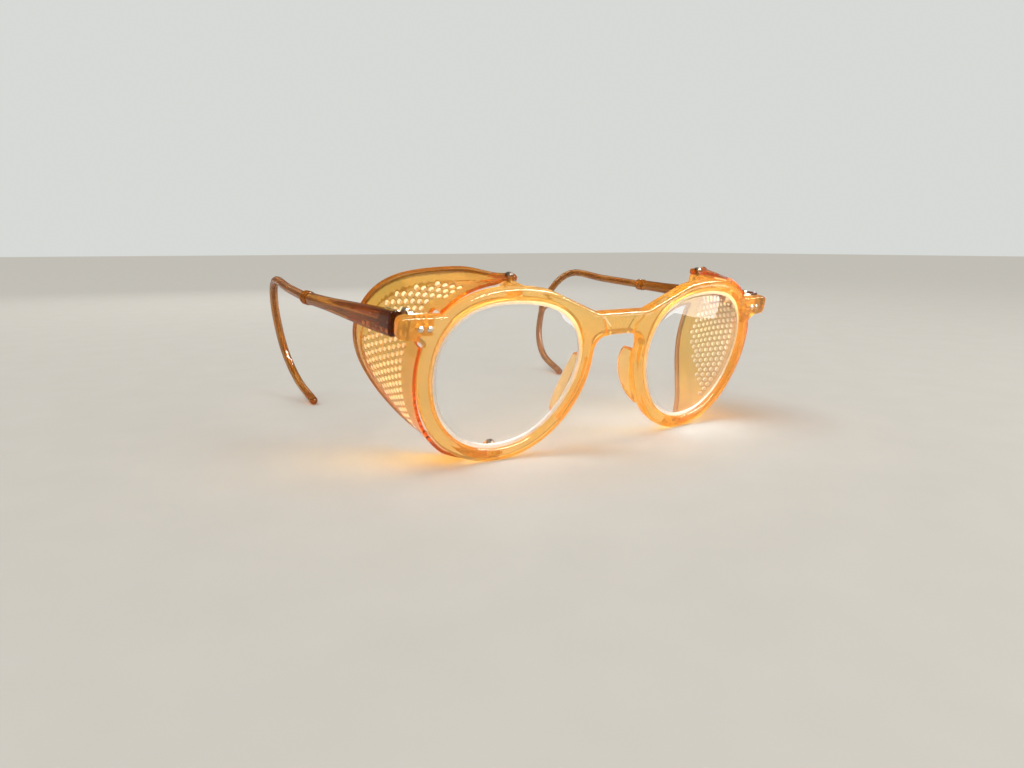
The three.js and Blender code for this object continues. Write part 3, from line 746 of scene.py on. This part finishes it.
def lens_glass():
    n = Nodes("lens_glass")
    dust = n.noise(1800, 5)
    skin = {
        "Base Color": (0.985, 0.99, 0.99, 1),
        "Roughness": n.spread(dust, 0.0, 0.03),
        "IOR": 1.52,
        "Transmission Weight": 1.0,
    }
    glass = n.add("ShaderNodeBsdfPrincipled", skin).outputs["BSDF"]
    lamp_ray = n.add("ShaderNodeLightPath").outputs["Is Shadow Ray"]
    passing = n.add("ShaderNodeBsdfTransparent", {"Color": (0.96, 0.97, 0.97, 1)}).outputs["BSDF"]
    return n.finish(n.mix(lamp_ray, glass, passing))


def ground_glass():
    n = Nodes("ground_glass")
    grit = n.noise(2500, 4)
    skin = {
        "Base Color": n.ramp(grit, [(0.35, (0.66, 0.64, 0.6)), (0.65, (0.8, 0.78, 0.75))]),
        "Roughness": 0.4,
        "IOR": 1.52,
        "Transmission Weight": 0.3,
        "Normal": n.bump(grit, 0.3, 0.02),
    }
    return n.finish(n.add("ShaderNodeBsdfPrincipled", skin).outputs["BSDF"])


def metal(name, bright, dull, roughness, scale):
    """Aged metal: dull film in patches over a fine brushed surface."""
    n = Nodes(name)
    patches = n.noise(scale, 4)
    brushing = n.noise(3000, 3, stretch=(1, 1, 8))
    skin = {
        "Base Color": n.ramp(patches, [(0.35, dull), (0.65, bright)]),
        "Metallic": 1.0,
        "Roughness": n.spread(patches, roughness * 1.5, roughness * 0.7),
        "Normal": n.bump(brushing, 0.2, 0.01),
    }
    return n.finish(n.add("ShaderNodeBsdfPrincipled", skin).outputs["BSDF"])


def nickel_silver():
    return metal("nickel_silver", (0.8, 0.77, 0.7), (0.5, 0.44, 0.34), 0.22, 900)


def dark_steel():
    return metal("dark_steel", (0.36, 0.3, 0.24), (0.1, 0.07, 0.05), 0.35, 900)


def steel_cable():
    return metal("steel_cable", (0.55, 0.4, 0.22), (0.26, 0.16, 0.07), 0.35, 700)


# ---------- assembly ----------

MATERIALS = {
    "front_frame": honey_acetate(),
    "side_shield": shield_sheet(),
    "temple_arm": brown_acetate(),
    "ear_hook_sleeve": brown_sleeve(),
    "front_rivet": nickel_silver(),
    "shield_pin": dark_steel(),
    "ear_hook_cable": steel_cable(),
}

# Voxel size in millimetres and rounds of smoothing; 24 rounds close the holes onto the pins.
FRONT_FINISH = (0.2, 10)

# Node name without its side: (material, voxel size in millimetres, rounds of smoothing)
FINISHES = {
    "nose_pad": ("front_frame", 0.2, 8),
    "temple_arm": ("temple_arm", 0.22, 8),
    "temple_collar": ("temple_arm", 0.1, 4),
    "ear_hook_sleeve": ("ear_hook_sleeve", 0.16, 8),
    "ear_hook_cable": ("ear_hook_cable", 0.12, 3),
    "temple_core_wire": ("front_rivet", 0.12, 3),
    "hinge_front_leaf": ("front_rivet", 0.1, 3),
    "hinge_temple_leaf": ("front_rivet", 0.1, 3),
    "hinge_screw": ("front_rivet", 0.07, 3),
    "front_rivet_inner": ("front_rivet", 0.06, 4),
    "front_rivet_outer": ("front_rivet", 0.06, 4),
    "shield_top_pin": ("shield_pin", 0.06, 4),
    "shield_bottom_pin": ("shield_pin", 0.06, 4),
}


def finish_node(name, material, voxel, rounds):
    node = frame["nodes"][name]
    node.data.materials.clear()
    node.data.materials.append(MATERIALS[material])
    refine(node, voxel, rounds)


def dress_frame():
    finish_node("front_frame", "front_frame", *FRONT_FINISH)
    for kind, (material, voxel, rounds) in FINISHES.items():
        for side in SIDES:
            finish_node(f"{kind}_{side}", material, voxel, rounds)


def make_new_pieces():
    glass, ground = lens_glass(), ground_glass()
    sheet = [MATERIALS["side_shield"], hole_wall(), shield_bead()]
    for side in SIDES:
        make_lens(side, glass, ground)
        make_shield(side, sheet)


# ---------- stage ----------


def floor_material():
    n = Nodes("pale_floor")
    fleck = n.noise(60, 2)
    skin = {
        "Base Color": n.ramp(fleck, [(0.0, (0.43, 0.405, 0.37)), (1.0, (0.46, 0.435, 0.4))]),
        "Roughness": 0.8,
        "Specular IOR Level": 0.0,
    }
    return n.finish(n.add("ShaderNodeBsdfPrincipled", skin).outputs["BSDF"])


def make_floor():
    half = FLOOR_HALF
    corners = [(-half, -half, 0), (half, -half, 0), (half, half, 0), (-half, half, 0)]
    mesh = bpy.data.meshes.new("floor")
    mesh.from_pydata(corners, [], [(0, 1, 2, 3)])
    floor = bpy.data.objects.new("floor", mesh)
    floor.data.materials.append(floor_material())
    bpy.context.scene.collection.objects.link(floor)


def softbox(name, at, size, watts, lights=True, mirrored=True):
    """A rectangular light at a point in metres, turned to the glasses.

    Without `lights` it is only seen mirrored; without `mirrored` it only throws light.
    """
    light = bpy.data.lights.new(name, "AREA")
    light.shape = "RECTANGLE"
    light.size, light.size_y = size
    light.energy = watts
    lamp = bpy.data.objects.new(name, light)
    lamp.visible_diffuse = lights
    lamp.visible_transmission = lights
    lamp.visible_glossy = mirrored
    lamp.visible_camera = False
    lamp.location = at
    lamp.rotation_euler = (LAMP_TARGET - Vector(at)).to_track_quat("-Z", "Y").to_euler()
    bpy.context.scene.collection.objects.link(lamp)


def make_room():
    world = bpy.data.worlds.new("studio")
    world.use_nodes = True
    background = world.node_tree.nodes["Background"]
    background.inputs["Color"].default_value = (0.8, 0.82, 0.79, 1)
    mirrored = world.node_tree.nodes.new("ShaderNodeLightPath").outputs["Is Glossy Ray"]
    dimmed = world.node_tree.nodes.new("ShaderNodeMapRange")
    dimmed.inputs["To Min"].default_value = ROOM_LIGHT
    dimmed.inputs["To Max"].default_value = MIRRORED_ROOM_LIGHT
    world.node_tree.links.new(mirrored, dimmed.inputs["Value"])
    world.node_tree.links.new(dimmed.outputs["Result"], background.inputs["Strength"])
    bpy.context.scene.world = world


def make_sky():
    """A wide sun that throws soft light but is not mirrored."""
    soft = bpy.data.lights.new("sky", "SUN")
    soft.energy = SKY_STRENGTH
    soft.angle = SKY_WIDTH
    sky = bpy.data.objects.new("sky", soft)
    sky.visible_glossy = False
    sky.rotation_euler = SKY_DIRECTION.to_track_quat("-Z", "Y").to_euler()
    bpy.context.scene.collection.objects.link(sky)


def make_lights():
    make_room()
    make_sky()
    softbox("window", (0.122, -0.15, 0.024), (0.086, 0.036), 0.05, lights=False)
    softbox("strip", (0.2, -0.3, 0.38), (0.8, 0.16), 16.0, lights=False)
    softbox("key", (0.3, -0.55, 0.4), (0.3, 0.3), 1.6)
    softbox("back", (0.1, 0.6, 0.35), (0.6, 0.3), 0.8, mirrored=False)


def make_camera():
    data = bpy.data.cameras.new("camera")
    data.sensor_width = 36
    data.lens = CAMERA_LENS
    data.clip_start = 0.01
    camera = bpy.data.objects.new("camera", data)
    level = math.cos(CAMERA_PITCH)
    heading = (math.sin(CAMERA_YAW) * level, math.cos(CAMERA_YAW) * level, -math.sin(CAMERA_PITCH))
    camera.location = CAMERA_AT
    camera.rotation_euler = Vector(heading).to_track_quat("-Z", "Y").to_euler()
    bpy.context.scene.collection.objects.link(camera)
    bpy.context.scene.camera = camera
    bpy.context.scene.view_settings.view_transform = "Standard"


dress_frame()
make_new_pieces()
make_floor()
make_lights()
make_camera()
